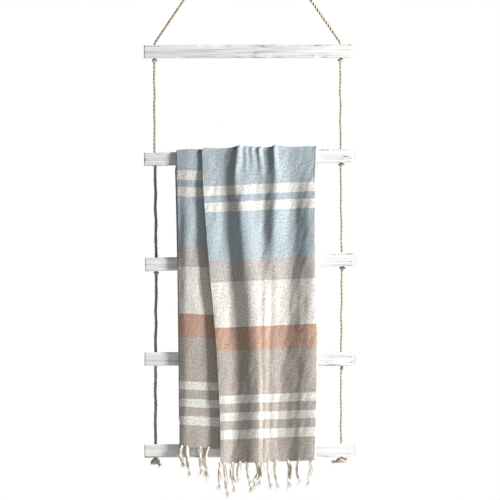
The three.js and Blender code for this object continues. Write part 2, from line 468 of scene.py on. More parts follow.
# %% Loose fibre tree
HAIR_SIDES = 3
HAIR_TILT = 1.15  # radians, the most that a hair leans from upright
SHORTEST_HAIR = 0.4  # of the longest


def hair_tree():
    tree, given = geometry_tree("loose fibres", (
        ("Density", "NodeSocketFloat", 60000.0), ("Hair length", "NodeSocketFloat", 0.004),
        ("Hair width", "NodeSocketFloat", 0.0002), ("Seed", "NodeSocketInt", 1),
        ("Material", "NodeSocketMaterial", None)))
    spots = node(tree, "GeometryNodeDistributePointsOnFaces", Mesh=given["Geometry"],
                 Density=given["Density"], Seed=given["Seed"])
    arc = node(tree, "GeometryNodeCurveQuadraticBezier", Resolution=3, Start=(0, 0, 0),
               Middle=(0, 0, 0.6), End=(0.5, 0, 0.9))
    share = math_node(tree, "DIVIDE", given["Hair width"], given["Hair length"])
    thin = node(tree, "GeometryNodeCurvePrimitiveCircle", Resolution=HAIR_SIDES, Radius=share)
    tube = node(tree, "GeometryNodeCurveToMesh", Curve=arc.outputs["Curve"],
                Profile_Curve=thin.outputs["Curve"])
    tilt = tree.nodes.new("FunctionNodeRandomValue")
    tilt.data_type = "FLOAT_VECTOR"
    tilt.inputs["Min"].default_value = (-HAIR_TILT, -HAIR_TILT, 0)
    tilt.inputs["Max"].default_value = (HAIR_TILT, HAIR_TILT, 2 * math.pi)
    lean = node(tree, "FunctionNodeEulerToRotation", Euler=tilt.outputs["Value"])
    turn = node(tree, "FunctionNodeRotateRotation", Rotation=spots.outputs["Rotation"],
                Rotate_By=lean.outputs["Rotation"])
    turn.rotation_space = "LOCAL"
    grow = tree.nodes.new("FunctionNodeRandomValue")
    grow.data_type = "FLOAT"
    grow.inputs[2].default_value = SHORTEST_HAIR
    grow.inputs[3].default_value = 1.0
    planted = node(tree, "GeometryNodeInstanceOnPoints", Points=spots.outputs["Points"],
                   Instance=tube.outputs["Mesh"], Rotation=turn.outputs["Rotation"],
                   Scale=times(tree, grow.outputs[1], given["Hair length"]))
    joined = node(tree, "GeometryNodeJoinGeometry", Geometry=planted.outputs["Instances"])
    tree.links.new(given["Geometry"], joined.inputs["Geometry"])
    return end_tree(tree, joined.outputs["Geometry"], given["Material"])


HAIR_TREE = hair_tree()
HAIR_DENSITY = 60000
HAIR_LENGTH = 0.0028
HAIR_WIDTH = 0.00009


def hairy(obj, seed):
    name = obj.name
    with_nodes(obj, HAIR_TREE, Density=HAIR_DENSITY, Hair_length=HAIR_LENGTH, Hair_width=HAIR_WIDTH,
               Seed=int(seed), Material=JUTE)
    return frozen(obj, name)


print(HAIR_TREE.name, "has", len(HAIR_TREE.nodes), "nodes")


# %% [markdown]
# The jute's colour runs from straw to brown along the fibres of each strand, with a few dark
# specks, and the grooves between the strands are left to the light.

# %% Jute and yarn materials


SHEEN = 0.15
LONG_SCALE = 12.0  # along a strand the pattern is finer than round it
SPECK_SHARE = 6  # specks are this much finer than streaks
FIBRE_BUMP = 0.0004


def strand_vector(tree):
    """Where a point is round its strand and along it, moved by where it is on the piece."""
    wound = node(tree, "ShaderNodeCombineXYZ", X=attribute(tree, "around"),
                 Y=times(tree, attribute(tree, "along"), LONG_SCALE))
    place = tree.nodes.new("ShaderNodeTexCoord")
    return vector_node(tree, "ADD", wound.outputs["Vector"], place.outputs["Object"])


def spun_material(name, dark, light, roughness, fibre_scale, strength):
    made, tree, shader = material(name, roughness)
    masks = fibre(tree, strand_vector(tree), fibre_scale, fibre_scale * SPECK_SHARE)
    colour = ramp(tree, masks["Mask"], ((0.25, dark), (0.75, light)))
    tree.links.new(colour, shader.inputs["Base Color"])
    shader.inputs["Sheen Weight"].default_value = SHEEN
    bump(tree, shader, masks["Height"], strength, FIBRE_BUMP)
    return made


JUTE = spun_material("jute", (0.25, 0.20, 0.145), (0.56, 0.475, 0.38), 0.9, 9.0, 0.7)
YARN = spun_material("fringe_yarn", (0.62, 0.54, 0.43), (0.91, 0.86, 0.78), 0.92, 7.0, 0.5)
print("materials", JUTE.name, YARN.name)

# %% [markdown]
# ## The ropes
#
# The cords come first. Each rope is one length, knotted under every rung. It is made in the
# stretches between the knots, because a rung swings below the knot above it. A stretch runs from
# the middle of one knot to the middle of the next, so no cut end shows.

# %% Ropes
ROPE_DIAMETER = 0.007
ROPE_LAY = 0.027
ROPE_STEP = 0.0015
PATH_STEP = 0.004
ROPE_WIDTH = 1.05  # of its nominal width, with a slow swell and an uneven part on it
ROPE_SWELL = 0.05
ROPE_UNEVEN = 0.03
ROPE_WAVER = 0.0007  # how far a hanging rope strays from a straight line
WAVER_LENGTH = 0.075
BEND_REACH = 0.006  # how long the bend is where an upper rope goes into its rung
BEND_RISE = 0.0022  # and how far that bend stands over the rung
BEND_STEPS = 8
random = np.random.default_rng(7)


def spaced(points, step):
    """The same line with points every step, at most."""
    points = [Vector(p) for p in points]
    out = [points[0]]
    for start, end in zip(points, points[1:]):
        count = max(1, round((end - start).length / step))
        out += [start.lerp(end, i / count) for i in range(1, count + 1)]
    return out


def wavering(line):
    """A line of points that strays a little from side to side, and not at its ends."""
    phase, total, done = random.uniform(0, 6.3, 2), (line[-1] - line[0]).length, []
    for point in line:
        far = (point - line[0]).length
        ease = math.sin(math.pi * min(1, far / total))
        angle = 2 * math.pi * far / WAVER_LENGTH
        stray = Vector((math.sin(angle + phase[0]), math.sin(1.3 * angle + phase[1]), 0))
        done.append(point + stray * ROPE_WAVER * ease)
    return done


def corner(before, turn, after, reach):
    """Points of a quadratic bend that starts and ends at reach from the turning point."""
    start = turn + (before - turn).normalized() * reach
    end = turn + (after - turn).normalized() * reach
    shares = [i / BEND_STEPS for i in range(BEND_STEPS + 1)]
    return [start.lerp(turn, share).lerp(turn.lerp(end, share), share) for share in shares]


def length_of(points):
    return sum((b - a).length for a, b in zip(points, points[1:]))


def rope(name, points, body):
    line = spaced(points, PATH_STEP)
    thickness = [ROPE_WIDTH + ROPE_SWELL * math.sin(0.9 * i) + random.normal(0, ROPE_UNEVEN)
                 for i in range(len(line))]
    made = cord_mesh("jute_" + name, [list(zip(line, thickness))], ROPE_DIAMETER, ROPE_LAY, JUTE,
                     ROPE_STEP)
    made = hairy(made, random.integers(1000))
    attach(made, body)
    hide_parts(name)


for side in SIDES:
    apex = middle("apex_knot")
    first_knot = middle(f"knot_{side}_1")
    bend = Vector((first_knot.x, 0, box("rung_1")[1].z + BEND_RISE))
    bail = [apex.lerp(bend, 0.03)] + corner(apex, bend, first_knot, BEND_REACH) + [first_knot]
    rope(f"bail_rope_{side}", bail, "bail")
    total = length_of(bail)
    for n in RUNG_NUMBERS[1:]:
        above, below = middle(f"knot_{side}_{n - 1}"), middle(f"knot_{side}_{n}")
        line = wavering(spaced([above, below], 0.01))
        rope(f"rope_{side}_{n}", line, f"level_{n}")
        total += length_of(line)
    print(side, "rope", round(total, 3), "m without its knots")

# %% [markdown]
# ## Knots
#
# A stop knot is the same rope pulled round itself. Its line starts in the middle, winds down round
# the rope, climbs back over its own turns and tucks in. The knot at the very end of each rope is
# bigger and has a frayed tail.

# %% Knots
KNOT_TURNS = 1.75
END_KNOT_TURNS = 2.2
BACK_TURN = 0.55  # the part of a turn that climbs back over the others
KNOT_STEPS = 14
KNOT_ROPE = 0.0052  # a stop knot is pulled tight, so its rope is drawn thinner
KNOT_STEP = 0.0012
FRAY_STRANDS = 46
FRAY_THICK = 0.0011
FRAY_LAY = 0.006
FRAY_STEP = 0.0025
FRAY_SPREAD = 0.28
# The cut end below each end knot: its place from the knot's middle, its direction, its length.
TAILS = {"left": ((0.004, 0, -0.003), (0.6, -0.2, -0.5), 0.012),
         "right": ((-0.008, 0, -0.001), (-0.9, -0.1, -0.25), 0.013)}


def knot_line(centre, width, height, thick, turns=KNOT_TURNS, phase=0.0):
    radius, half = (width - thick) / 2, (height - thick) / 2
    points = [centre + Vector((0, 0, half))]

    def wind(turn, out, rise):
        angle = phase + 2 * math.pi * turn
        points.append(centre + Vector((math.cos(angle) * radius * out,
                                       math.sin(angle) * radius * out, rise)))

    count = int(turns * KNOT_STEPS)
    for i in range(count + 1):
        share = i / count
        wind(turns * share, min(1, 5 * share), half - 2 * half * share)
    back = int(BACK_TURN * KNOT_STEPS)
    for i in range(1, back + 1):
        share = i / back
        wind(turns + BACK_TURN * share, 1.12 * math.cos(0.45 * math.pi * share) ** 0.5,
             -half + 2 * half * share)
    return points


def frayed(start, direction, length, spread, count):
    """Loose strands that fan out from a cut end, each a line of (point, width share)."""
    lines = []
    for _ in range(count):
        wander = Vector(np.clip(random.normal(0, spread, 3), -2 * spread, 2 * spread))
        reach = length * random.uniform(0.6, 1.0)
        bend = Vector(np.clip(random.normal(0, spread * 0.5, 3), -spread, spread))
        wander.y, bend.y = 0.3 * wander.y, 0.3 * bend.y
        line = []
        for share in (0, 0.25, 0.5, 0.75, 1):
            place = start + (direction + wander * share) * reach * share + bend * reach * share**2
            line.append((place, 1 - 0.6 * share))
        lines.append(line)
    return lines


def joined_objects(parts, name):
    """Several mesh objects as one."""
    if len(parts) > 1:
        with bpy.context.temp_override(active_object=parts[0], selected_editable_objects=parts,
                                       selected_objects=parts, object=parts[0]):
            bpy.ops.object.join()
    parts[0].name = name
    return parts[0]


def knot(name, body, thick, turns, phase, tail=None):
    low, high = box(name)
    size = high - low
    line = knot_line((low + high) / 2, size.x, size.z, thick, turns, phase)
    made = cord_mesh(name + "_tied", [[(p, 1.0) for p in line]], thick, ROPE_LAY * 0.8, JUTE,
                     KNOT_STEP)
    parts = [hairy(made, random.integers(1000))]
    if tail:
        start, direction, reach = tail
        stub = [(start.lerp(start + direction * reach * 0.35, i / 3), 0.95) for i in range(4)]
        parts.append(cord_mesh(name + "_tail", [stub], thick * 0.9, ROPE_LAY, JUTE, KNOT_STEP))
        loose = frayed(start + direction * reach * 0.3, direction, reach, FRAY_SPREAD,
                       FRAY_STRANDS)
        parts.append(cord_mesh(name + "_fray", loose, FRAY_THICK, FRAY_LAY, JUTE, FRAY_STEP,
                               4))
    made = joined_objects(parts, name + "_tied")
    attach(made, body)
    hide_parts(name)


for n in RUNG_NUMBERS:
    body = "bail" if n == 1 else f"level_{n}"
    for side in SIDES:
        name = f"knot_{side}_{n}"
        phase = random.uniform(0, 2 * math.pi)
        if n < RUNG_NUMBERS[-1]:
            knot(name, body, KNOT_ROPE, KNOT_TURNS, phase)
            continue
        away, direction, reach = TAILS[side]
        tail = (middle(name) + Vector(away), Vector(direction), reach)
        knot(name, body, ROPE_DIAMETER, END_KNOT_TURNS, phase, tail)
print("stop knots", 2 * len(RUNG_NUMBERS))

# %% [markdown]
# ## Hanging loop and top knot
#
# Above the top rung the two ropes meet in one knot, and a loop of the same rope comes out of its
# top to go over a hook.

# %% Loop
LOOP_BEND = 0.013
LOOP_LEG = 0.005  # from the middle of the loop to each leg, at the top knot
LOOP_TUCK = 0.012  # how far each leg goes on inside the knot, drawing in
TOP_KNOT_ROPE = 0.0085
TOP_KNOT_TURNS = 2.6
loop_low, loop_high = box("hanging_loop")
loop_z = loop_high.z - ROPE_DIAMETER / 2 - LOOP_BEND
leg = [Vector((-LOOP_LEG * 0.6, 0, loop_low.z - LOOP_TUCK)), Vector((-LOOP_LEG, 0, loop_low.z))]
arc = [math.radians(degrees) for degrees in range(200, -21, -10)]
bow = [Vector((LOOP_BEND * math.cos(a), 0, loop_z + LOOP_BEND * math.sin(a))) for a in arc]
loop_line = leg + bow + [Vector((-p.x, 0, p.z)) for p in reversed(leg)]


def rounded(points, passes=2):
    """Chaikin's corner cutting, which keeps both ends."""
    for _ in range(passes):
        cut = [points[0]]
        for a, b in zip(points, points[1:]):
            cut += [a.lerp(b, 0.25), a.lerp(b, 0.75)]
        points = cut + [points[-1]]
    return points


loop = cord_mesh("hanging_loop_rope", [[(p, 1.0) for p in rounded(loop_line)]], ROPE_DIAMETER,
                 ROPE_LAY, JUTE, ROPE_STEP)
loop = hairy(loop, 5)
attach(loop, "loop")
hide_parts("hanging_loop")
knot("apex_knot", "top_knot", TOP_KNOT_ROPE, TOP_KNOT_TURNS, 0.8)
print(loop.name, len(loop.data.polygons), "faces")

# %% [markdown]
# ## Rungs
#
# A rung is a half-round stick with a flat front. It is drawn here as rings of points along its
# length. Its long edges are knocked and rubbed: noise pulls the points in, most of all along the
# edges and at the two ends. The holes for the ropes are cut with a boolean.

# %% Rung shape
RUNG_STEPS = 150
RUNG_HEIGHT = 0.032
RUNG_EDGE = 0.002
END_STEPS = np.array([0, 0.0008, 0.002])  # closer rings at each end, for its small bevel
END_INSETS = (0.0012, 0.0003)
EDGE_WEAR = 0.0011
EDGE_REACH = 0.0045
SURFACE_WAVE = 0.0004
KNOCK_SCALE, WAVE_SCALE = 110, 90
WORN_REACH = 0.004  # the paint is thin this near an edge
END_WORN_REACH = 0.006
END_WORN = 0.8
HOLE_RADIUS = 0.0043
HOLE_REACH = 0.03
SEAT_GAP = 0.0008  # between a knot and the seat it is pulled up into
SHARP_ANGLE = math.radians(38)
# Where each rung's paint is rubbed thin: the place along it, how far that reaches, and how much.
RUBBED = {1: (0.010, 0.060, 0.62), 2: (0.235, 0.030, 0.45), 3: (0.190, 0.050, 0.50),
          4: (0.200, 0.050, 0.60), 5: (-0.215, 0.040, 0.50)}


def smooth_noise(points, scale, seed):
    """Sums of sines in mixed directions: soft repeatable noise from -1 to 1 on many points."""
    source = np.random.default_rng(seed)
    total = np.zeros(len(points))
    for _ in range(12):
        direction = source.normal(0, 1, 3) * scale
        total += np.sin(points @ direction + source.uniform(0, 2 * math.pi))
    return total / 5.0


def rung_section(height, depth):
    """Points round the section as (y, z): flat front, small round edges, half ellipse behind."""
    front, half, edge, reach = -depth / 2, height / 2, RUNG_EDGE, depth - RUNG_EDGE
    points = [(front, half * (1 - edge / half) * t) for t in np.linspace(-1, 1, 13)]
    for angle in np.linspace(math.pi, math.pi / 2, 6)[1:]:
        points.append((front + edge + edge * math.cos(angle), half - edge + edge * math.sin(angle)))
    for angle in np.linspace(math.pi / 2, -math.pi / 2, 30)[1:]:
        points.append((front + edge + reach * math.cos(angle), half * math.sin(angle)))
    for angle in np.linspace(-math.pi / 2, -math.pi, 6)[1:-1]:
        points.append((front + edge + edge * math.cos(angle), -half + edge + edge * math.sin(angle)))
    return np.array(points)


def rung_frame(name):
    """The rung's middle, length, tilt and depth, from the ends of its CAD mesh."""
    points = np.array([v.co for v in bpy.data.objects[name].data.vertices])
    low, high = points[:, 0].min(), points[:, 0].max()
    ends = []
    for at_end in (points[:, 0] < low + 0.004, points[:, 0] > high - 0.004):
        z = points[at_end, 2]
        ends.append((z.min() + z.max()) / 2)
    tilt = math.atan2(ends[1] - ends[0], high - low)
    centre = Vector(((low + high) / 2, 0, sum(ends) / 2))
    return centre, (high - low) / math.cos(tilt), tilt, np.ptp(points[:, 1])


def cut_holes(obj, places):
    """Drills holes from below; places are (x, radius, height of the hole's top)."""
    for x, radius, top in places:
        bpy.ops.mesh.primitive_cylinder_add(vertices=28, radius=radius, depth=top + HOLE_REACH,
                                            location=(x, 0, (top - HOLE_REACH) / 2))
        drill = bpy.context.object
        modifier = obj.modifiers.new("hole", "BOOLEAN")
        modifier.operation = "DIFFERENCE"
        modifier.solver = "EXACT"
        modifier.object = drill
        graph = bpy.context.evaluated_depsgraph_get()
        data = bpy.data.meshes.new_from_object(obj.evaluated_get(graph))
        obj.modifiers.remove(modifier)
        obj.data = data
        bpy.data.objects.remove(drill)


def edge_nearness(points, depth, reach):
    """1 on the two long edges of the front, and next to nothing beyond reach."""
    away = np.abs(np.abs(points[:, 2]) - RUNG_HEIGHT / 2) + np.abs(points[:, 1] + depth / 2)
    return np.exp(-((away / reach) ** 2))


def mark(made, name, values):
    layer = made.data.attributes.new(name, "FLOAT", "POINT")
    layer.data.foreach_set("value", values.astype(np.float32))


def make_rung(n, finish):
    name, half = f"rung_{n}", RUNG_HEIGHT / 2
    centre, length, tilt, depth = rung_frame(name)
    section = rung_section(RUNG_HEIGHT, depth)
    x = np.linspace(-length / 2, length / 2, RUNG_STEPS)
    x = np.concatenate([x[0] + END_STEPS, x[1:-1], x[-1] - END_STEPS[::-1]])
    inset = np.zeros(len(x))
    inset[[0, -1]], inset[[1, -2]] = END_INSETS
    points = np.concatenate([
        np.column_stack([np.full(len(section), place), section * (1 - shrink / half)])
        for place, shrink in zip(x, inset)])
    outward = points * [0, 1, 1]
    outward /= np.linalg.norm(outward, axis=1)[:, None]
    knocks = np.clip(smooth_noise(points, KNOCK_SCALE, 10 * n) + 0.1, 0, 1)
    wave = 0.5 + 0.5 * smooth_noise(points * [0.25, 1, 1], WAVE_SCALE, 10 * n + 1)
    near_edge = edge_nearness(points, depth, EDGE_REACH)
    points -= outward * (near_edge * knocks * EDGE_WEAR + wave.clip(0, 1) * SURFACE_WAVE)[:, None]
    count = len(section)
    faces = []
    for i in range(len(x) - 1):
        for j in range(count):
            a, b = i * count + j, i * count + (j + 1) % count
            faces.append((a, a + count, b + count, b))
    faces.append(tuple(range(count)))
    faces.append(tuple(reversed(range((len(x) - 1) * count, len(x) * count))))
    made = mesh_object(name + "_wood", points.tolist(), faces, finish)
    holes = []
    for side in SIDES:
        knot_low, knot_high = box(f"knot_{side}_{n}")
        at = ((knot_low + knot_high) / 2).x - centre.x
        rise = centre.z + at * math.sin(tilt)
        holes.append((at, HOLE_RADIUS, HOLE_REACH))
        if knot_high.z > rise - half + 0.003:
            seat = (knot_high.x - knot_low.x) / 2 + SEAT_GAP
            holes.append((at, seat, knot_high.z + 0.0003 - rise))
    cut_holes(made, holes)
    local = np.array([v.co for v in made.data.vertices])
    from_end = length / 2 - np.abs(local[:, 0])
    rub_at, rub_reach, rub = RUBBED[n]
    rubbed = rub * np.exp(-(((local[:, 0] - rub_at) / rub_reach) ** 2))
    worn = np.maximum(edge_nearness(local, depth, WORN_REACH), rubbed)
    worn = worn + END_WORN * np.exp(-((from_end / END_WORN_REACH) ** 2))
    mark(made, "worn", np.clip(worn, 0, 1))
    # The end faces are marked for their dark grey, which is partly end grain and partly painted
    # shade.
    mark(made, "end_face_grain_and_shade", from_end < 0.0004)
    made.data.transform(Matrix.Translation(centre) @ Matrix.Rotation(-tilt, 4, "Y"))
    made.data.shade_smooth()
    made.data.set_sharp_from_angle(angle=SHARP_ANGLE)
    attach(made, "bail" if n == 1 else f"level_{n}")
    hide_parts(name)
    return made


print("each rung is drawn in", RUNG_STEPS + 2 * (len(END_STEPS) - 1), "rings")


# %% [markdown]
# Whitewash is thin: it sinks into the grain, so fine grey lines run along the wood, and where it
# was rubbed or missed the brown wood shows in long flakes. There are more of these along the edges
# and at the ends, which the attribute worn marks. The end faces are a dark grey: partly end grain,
# and partly painted shade, so that they stay darker than the lit front.

# %% Whitewashed wood


def whitewashed_wood():
    made, tree, shader = material("whitewashed_wood", 0.72)
    place = tree.nodes.new("ShaderNodeTexCoord").outputs["Object"]

    def streaks(scale, detail, seed, roughness=0.6):
        return noise(tree, mapped(tree, place, scale, (seed, 1.7 * seed, 0)), 1.0, detail, roughness)

    grain = streaks((9, 520, 520), 4.0, 0.0)
    broad = streaks((5, 150, 150), 3.0, 4.0)
    flake = streaks((22, 240, 240), 5.0, 9.0, 0.72)
    lines = ramp(tree, grain, ((0.30, 0.42), (0.47, 0.88), (0.60, 0.98)))
    wash = ramp(tree, broad, ((0.28, (0.66, 0.66, 0.67)), (0.52, (0.86, 0.86, 0.855)),
                              (0.75, (0.88, 0.88, 0.875))))
    white = mixed(tree, 0.75, wash, lines, "MULTIPLY")
    bare = plus(tree, flake, times(tree, attribute(tree, "worn"), 0.115))
    bare = ramp(tree, bare, ((0.640, 0.0), (0.690, 1.0)))
    brown = ramp(tree, grain, ((0.3, (0.10, 0.075, 0.06)), (0.7, (0.34, 0.28, 0.23))))
    # Painted shade with end grain: the end faces get a dark grey, darker than the lit front.
    end_grain_and_shade = ramp(tree, flake, ((0.35, (0.15, 0.14, 0.13)), (0.55, (0.30, 0.30, 0.30))))
    white = mixed(tree, attribute(tree, "end_face_grain_and_shade"), white, end_grain_and_shade)
    tree.links.new(mixed(tree, bare, white, brown), shader.inputs["Base Color"])
    bump(tree, shader, math_node(tree, "SUBTRACT", grain, times(tree, bare, 0.5)), 0.45, 0.0006)
    return made


WOOD = whitewashed_wood()
for n in RUNG_NUMBERS:
    made = make_rung(n, WOOD)
    print(made.name, len(made.data.polygons), "faces")

# %% [markdown]
# ## The throw: how the cloth is folded
#
# The cloth is 1.23 m wide and 1.36 m long. It was folded in four across its width, by lines that
# run up and down, and then laid over the rung. Its first layer is the narrow one in front; the
# second is wider, so it shows as a strip at the left. The cloth was not folded quite square, so
# its stripes climb a little to the right.
#
# The shape is worked out row by row. A row goes along the width through all four layers and three
# folds, and says for each point how far across, how far up the cloth and how deep it lies.

# %% Folding plan
CLOTH_WIDTH = 1.23
CLOTH_LENGTH = 1.36
CLOTH_THICKNESS = 0.0013
SKEW = 0.042  # how much the rows climb to the right
LAYER_DEPTHS = (0.0098, 0.0070, 0.0044, 0.0020)
TIGHT = 0.64  # the layers lie this much closer where they are pressed over the rung
LAYER_FOLLOW = (1.0, 0.7, 0.4, 0.2)  # how much of the waves each layer takes up
LAYER_COLUMNS = (112, 76, 40, 40)
FOLD_COLUMNS = 7
FOLD_RADIUS = 0.002
HITCH = 0.007  # how much higher the layers below the top one lie
HEM_HITCH = 0.008  # and how much more near the hem
LATE_FROM, LATE_OVER = 0.26, 0.15  # where along the width the top layer gives way to them
BACK_SHIFT = 0.020  # behind the rung the right edge lies further in
STRIP_SHIFT = 0.7  # of that, for the left edge
FRONT_LENGTH = 0.741  # from the cloth's foot to the bend
BACK_FROM = 0.77  # further up the cloth than this, rows hang behind
BACK_LEAN, BACK_LEAN_GROWTH = 40.7, 45
TURN_BACK = 1.50  # a row behind and the row as high in front add up to this
throw_low, throw_high = box("throw")
rung_centre, _, rung_tilt, rung_depth = rung_frame("rung_2")
CLOTH_FOOT = throw_low.z - 0.0075
MAIN_LEFT = throw_low.x + 0.103
RIGHT_FOLD = throw_high.x - 0.0070
LEFT_FOLD = throw_low.x + 0.0045
rows = np.concatenate([np.linspace(0, 0.70, 96), np.linspace(0.70, 0.82, 50)[1:],
                       np.linspace(0.82, CLOTH_LENGTH, 56)[1:]])
print(len(rows), "rows from the foot in front to the end behind")


def soft_curve(places, values, degree=3):
    return np.poly1d(np.polyfit(places, values, degree))


LEFT_LEAN = soft_curve((0, 0.152, 0.304, 0.445, 0.55, 0.741), (-6.5, -3.0, 5.5, 18.0, 28.5, 40.7))
RIGHT_DRIFT = soft_curve((0, 0.14, 0.31, 0.45, 0.741), (-3.5, 6.3, 3.0, 3.5, -1.2))
STRIP_DRIFT = soft_curve((0, 0.30, 0.5, 0.741), (2.4, 2.0, -3.0, -7.0), 2)


def front_height(v):
    """Rows behind the rung repeat the edges of the rows as high in front."""
    return max(TURN_BACK - v, 0) if v > BACK_FROM else min(v, FRONT_LENGTH)


def smoothstep(x):
    x = np.clip(x, 0, 1)
    return x * x * (3 - 2 * x)


# %% [markdown]
# Standing waves run down the hanging cloth. Each is a ridge with a valley on either side, wandering
# a little on its way. A row's wave profile is drawn through those lines. All four layers share the
# waves, the outer ones most. Where the cloth bends over the rung it is bunched, and small pleats
# run down from there and fade.

# %% Waves and pleats
MOST_RISE = 0.0132
LEFT_LEVELS = (0.031, 0.289, 0.534, 0.698)
RIGHT_LEVELS = (0.031, 0.289, 0.534, 0.70)
RIDGE = soft_curve((0.031, 0.218, 0.289, 0.382, 0.534, 0.698),
                   (0.0370, 0.0370, 0.0340, 0.0210, 0.0050, -0.0130))
LEFT_VALLEY = soft_curve(LEFT_LEVELS, (-0.024, -0.016, -0.0380, -0.0500), 2)
RIGHT_VALLEY = soft_curve(RIGHT_LEVELS, (0.0920, 0.0980, 0.1160, 0.1180))
RIGHT_RIDGE = soft_curve(RIGHT_LEVELS, (0.1640, 0.1680, 0.1700, 0.1660))
SIDE_VALLEY = 0.050
SIDE_RIDGE = soft_curve((0.0, 0.3, 0.5, 0.7), (0.068, 0.068, 0.074, 0.078))
STRIP_RIDGE = 0.019  # from the left fold
# Each pleat: its place, its height, how far it drifts on its way down, its reach and its width.
PLEATS = ((-0.0140, 0.0031, -0.010, 0.130, 0.0064), (-0.0081, 0.0009, 0.001, 0.050, 0.0030),
          (0.0051, 0.0013, 0.004, 0.090, 0.0035), (0.0195, 0.0015, 0.008, 0.060, 0.0038),
          (0.0378, 0.0024, 0.012, 0.090, 0.0048), (0.0740, 0.0034, 0.010, 0.110, 0.0066))
PLEAT_SPREAD = 0.0050
SAG_AT = (0.0, 0.03, 0.15, 0.265, 0.32, 0.43, 0.485, 0.60, 0.65, 0.75, 0.85)
SAG = (0.0, 0.0005, 0.0030, 0.0023, 0.0025, 0.0058, 0.0085, 0.0060, 0.0058, 0.0030, 0.0)


def wave_profile(x, level, main_left):
    """Height of the waves at the points x of one row, level metres above the cloth's foot."""
    high = float(smoothstep((level - 0.36) / 0.24))
    right = 9.6 - 5.0 * float(smoothstep((level - 0.60) / 0.1))
    # Each line down the cloth as its place and its height there, in millimetres.
    lines = ((LEFT_FOLD - 0.01, 0.5), (LEFT_FOLD, 1.2), (LEFT_FOLD + STRIP_RIDGE, 5.4),
             (main_left - 0.007, 0.0), (main_left, 5.6), (LEFT_VALLEY(level), 0.0),
             (RIDGE(level), 12.0), (SIDE_VALLEY, 7.4 - 5.2 * high),
             (SIDE_RIDGE(level), 3.4 + 5.0 * high), (RIGHT_VALLEY(level), 0.2),
             (RIGHT_RIDGE(level), right), (RIGHT_FOLD + 0.01, 7.2))
    places, heights = np.array(lines).T
    places = np.maximum.accumulate(places)
    index = np.clip(np.searchsorted(places, x) - 1, 0, len(places) - 2)
    width = np.maximum(places[index + 1] - places[index], 1e-4)
    share = smoothstep((x - places[index]) / width)
    return (heights[index] + (heights[index + 1] - heights[index]) * share) * MM


def pleats(x, below):
    """Small gathers that start at the rung; below is how far under the bend each point is."""
    total = np.zeros_like(x)
    down = np.maximum(below, 0)
    for place, height, drift, reach, narrow in PLEATS:
        gone = down / reach
        width = narrow + PLEAT_SPREAD * np.minimum(gone, 1)
        line = place + drift * np.minimum(gone, 1.2)
        total += height * np.exp(-(((x - line) / width) ** 2)) * (1 - smoothstep(gone))
    return total


print(len(PLEATS), "pleats start at the rung")


# %% [markdown]
# The path over the rung is the rung's own outline, moved outward by the depth of the layer. An
# outer layer has further to go round, so each layer measures its own length along the bend.

# %% The bend over the rung
BEND_LENGTH = 0.07  # about how much of the cloth's length lies on the bend
bend_points, bend_normals = [], []
for angle in np.linspace(math.pi, math.pi / 2, 9):
    bend_normals.append((math.cos(angle), math.sin(angle)))
    bend_points.append((-rung_depth / 2 + RUNG_EDGE + RUNG_EDGE * math.cos(angle),
                        RUNG_HEIGHT / 2 - RUNG_EDGE + RUNG_EDGE * math.sin(angle)))
reach, half = rung_depth - RUNG_EDGE, RUNG_HEIGHT / 2
for angle in np.linspace(math.pi / 2, 0, 33)[1:]:
    slope = np.array([math.cos(angle) / reach, math.sin(angle) / half])
    bend_normals.append(tuple(slope / np.linalg.norm(slope)))
    bend_points.append((-rung_depth / 2 + RUNG_EDGE + reach * math.cos(angle),
                        half * math.sin(angle)))
bend_points, bend_normals = np.array(bend_points), np.array(bend_normals)
bend_steps = np.linalg.norm(np.diff(bend_points, axis=0), axis=1)
bend_arc = np.concatenate([[0], np.cumsum(bend_steps)])
bend_turn = math.pi - np.unwrap(np.arctan2(bend_normals[:, 1], bend_normals[:, 0]))


def rung_middle_height(x):
    return rung_centre.z + math.tan(rung_tilt) * (x - rung_centre.x)


def bend_start(x):
    """How far up the cloth the bend begins."""
    return rung_middle_height(x) + RUNG_HEIGHT / 2 - RUNG_EDGE - CLOTH_FOOT


def on_path(x, s, depth, usual_depth):
    """Points at x, a length s up the cloth, and depth out from the rung."""
    past = s - bend_start(x)
    lengths = bend_arc + bend_turn * usual_depth
    steps = np.arange(len(lengths))
    place = np.interp(past, lengths, steps)
    y0, z0, ny, nz = (np.interp(place, steps, column)
                      for column in (*bend_points.T, *bend_normals.T))
    y, z = y0 + ny * depth, z0 + nz * depth + rung_middle_height(x)
    front, back = past < 0, past > lengths[-1]
    y = np.where(front, -rung_depth / 2 - depth, np.where(back, rung_depth / 2 + depth, y))
    z = np.where(front, CLOTH_FOOT + s, z)
    z = np.where(back, rung_middle_height(x) - (past - lengths[-1]), z)
    return np.column_stack([x, y, z])


print("the rung's own part of the bend is", round(float(bend_arc[-1]), 4), "m long")


# %% [markdown]
# Now the rows can be laid. The result is one grid of points, with the place of each on the flat
# cloth kept beside it, so the stripes can be woven straight and bend with the cloth.

# %% Lay the rows
LEAST_HANG = 0.34  # the waves are this much flatter where the cloth bends over the rung
HANG_OVER = 0.20
HIGHEST_LEVEL = 0.72  # the waves keep one shape above this
CREASE, CREASE_SCALE = 0.0009, 62
RIPPLE, RIPPLE_SCALE = 0.00035, 190
CREASE_STEP = 0.3  # the top layer creases in its own way


